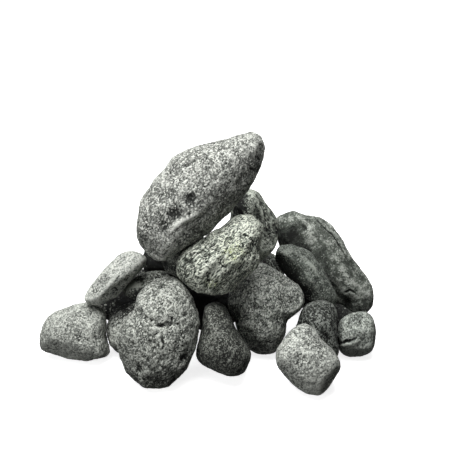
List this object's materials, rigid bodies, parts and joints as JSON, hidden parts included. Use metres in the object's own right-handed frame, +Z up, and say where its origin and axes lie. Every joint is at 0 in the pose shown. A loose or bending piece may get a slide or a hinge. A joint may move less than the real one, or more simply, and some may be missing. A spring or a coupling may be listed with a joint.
{
  "type": "heap of basalt massage stones",
  "caption": "Loose heap of rough tumbled basalt stones for hot-stone massage and heat therapy, dark grey with pale speckle, resting on worn flat spots.",
  "frame": {"origin": "On the floor under the middle of the heap's box.", "axes": "+X to the right along the longest side, +Y to the back, +Z up."},
  "size_m": [0.2846, 0.2054, 0.1904],
  "materials": {
    "pale_basalt": "matte",
    "grey_basalt": "matte",
    "dark_basalt": "matte",
    "green_basalt": "matte"
  },
  "bodies": {
    "heap_core": {"centre_right_stone": "dark_basalt", "core_stone": "grey_basalt", "left_back_stone": "pale_basalt", "left_tuck_stone": "grey_basalt", "right_tuck_stone": "grey_basalt", "back_right_stone": "grey_basalt"},
    "back_left": {"back_left_stone": "pale_basalt"},
    "back_right_tall": {"back_right_tall_stone": "dark_basalt"},
    "back_left_upper": {"back_left_upper_stone": "dark_basalt"},
    "back_middle": {"back_middle_stone": "grey_basalt"},
    "back_peak": {"back_peak_stone": "grey_basalt"},
    "crest": {"crest_stone": "grey_basalt"},
    "front_left": {"front_left_stone": "grey_basalt"},
    "front_middle": {"front_middle_stone": "dark_basalt"},
    "front_right": {"front_right_stone": "pale_basalt"},
    "green": {"green_stone": "green_basalt"},
    "left_end": {"left_end_stone": "pale_basalt"},
    "left_slab": {"left_slab_stone": "pale_basalt"},
    "right_bar": {"right_bar_stone": "dark_basalt"},
    "right_end": {"right_end_stone": "grey_basalt"},
    "right_shoulder": {"right_shoulder_stone": "grey_basalt"},
    "wedge": {"wedge_stone": "dark_basalt"}
  },
  "joints": [
    {"name": "back_left_lift", "type": "slide", "parent": "heap_core", "child": "back_left", "axis": [-0.7507, 0.6079, 0.2588], "range_m": [0, 0.16]},
    {"name": "back_right_tall_lift", "type": "slide", "parent": "heap_core", "child": "back_right_tall", "axis": [0.6588, 0.7064, 0.2588], "range_m": [0, 0.16]},
    {"name": "back_left_upper_lift", "type": "slide", "parent": "heap_core", "child": "back_left_upper", "axis": [-0.2676, 0.8236, 0.5], "range_m": [0, 0.16]},
    {"name": "back_middle_lift", "type": "slide", "parent": "heap_core", "child": "back_middle", "axis": [-0.0674, 0.9636, 0.2588], "range_m": [0, 0.16]},
    {"name": "back_peak_lift", "type": "slide", "parent": "heap_core", "child": "back_peak", "axis": [0, 0.5, 0.866], "range_m": [0, 0.16]},
    {"name": "crest_lift", "type": "slide", "parent": "heap_core", "child": "crest", "axis": [-0.5, 0.5, 0.7071], "range_m": [0, 0.16]},
    {"name": "front_left_lift", "type": "slide", "parent": "heap_core", "child": "front_left", "axis": [-0.554, -0.7912, 0.2588], "range_m": [0, 0.16]},
    {"name": "front_middle_lift", "type": "slide", "parent": "heap_core", "child": "front_middle", "axis": [0.2008, -0.9448, 0.2588], "range_m": [0, 0.16]},
    {"name": "front_right_lift", "type": "slide", "parent": "heap_core", "child": "front_right", "axis": [0.2008, -0.9448, 0.2588], "range_m": [0, 0.16]},
    {"name": "green_lift", "type": "slide", "parent": "heap_core", "child": "green", "axis": [0.483, -0.8365, 0.2588], "range_m": [0, 0.16]},
    {"name": "left_end_lift", "type": "slide", "parent": "heap_core", "child": "left_end", "axis": [-0.9565, -0.1344, 0.2588], "range_m": [0, 0.16]},
    {"name": "left_slab_lift", "type": "slide", "parent": "heap_core", "child": "left_slab", "axis": [-0.8236, 0.2676, 0.5], "range_m": [0, 0.16]},
    {"name": "right_bar_lift", "type": "slide", "parent": "heap_core", "child": "right_bar", "axis": [0.25, -0.433, 0.866], "range_m": [0, 0.16]},
    {"name": "right_end_lift", "type": "slide", "parent": "heap_core", "child": "right_end", "axis": [0.828, -0.4975, 0.2588], "range_m": [0, 0.16]},
    {"name": "right_shoulder_lift", "type": "slide", "parent": "heap_core", "child": "right_shoulder", "axis": [0.509, 0.7006, 0.5], "range_m": [0, 0.16]},
    {"name": "wedge_lift", "type": "slide", "parent": "heap_core", "child": "wedge", "axis": [-0.2649, 0.6556, 0.7071], "range_m": [0, 0.16]}
  ]
}
